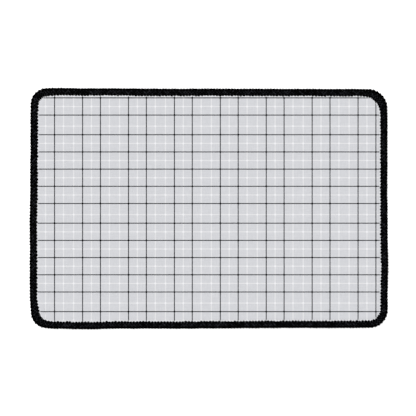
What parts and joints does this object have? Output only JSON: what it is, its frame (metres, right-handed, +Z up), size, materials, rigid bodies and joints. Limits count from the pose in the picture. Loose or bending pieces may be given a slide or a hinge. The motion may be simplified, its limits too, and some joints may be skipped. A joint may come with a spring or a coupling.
{
  "type": "door mat",
  "caption": "Flat rectangular door mat with rounded corners: a checked printed face on a felt and rubber laminate, with a black overlocked border.",
  "frame": {"origin": "on the floor, under the middle of the mat", "axes": "+X along the mat's length, +Y across its width, +Z up out of the printed face"},
  "size_m": [0.6, 0.402, 0.0061],
  "materials": {
    "printed_cloth": "brushed polyester, dye-sublimation printed",
    "hot_melt_film": "translucent hot-melt web",
    "needled_felt": "needle-punched polyester felt",
    "moulded_rubber": "matt moulded",
    "looper_yarn": "black textured polyester yarn",
    "needle_thread": "black spun polyester thread"
  },
  "bodies": {
    "root": {"printed_face": "printed_cloth", "face_film": "hot_melt_film", "felt_core": "needled_felt", "backing_film": "hot_melt_film", "rubber_backing": "moulded_rubber", "upper_looper_yarn": "looper_yarn", "lower_looper_yarn": "looper_yarn", "needle_thread": "needle_thread"}
  },
  "joints": []
}
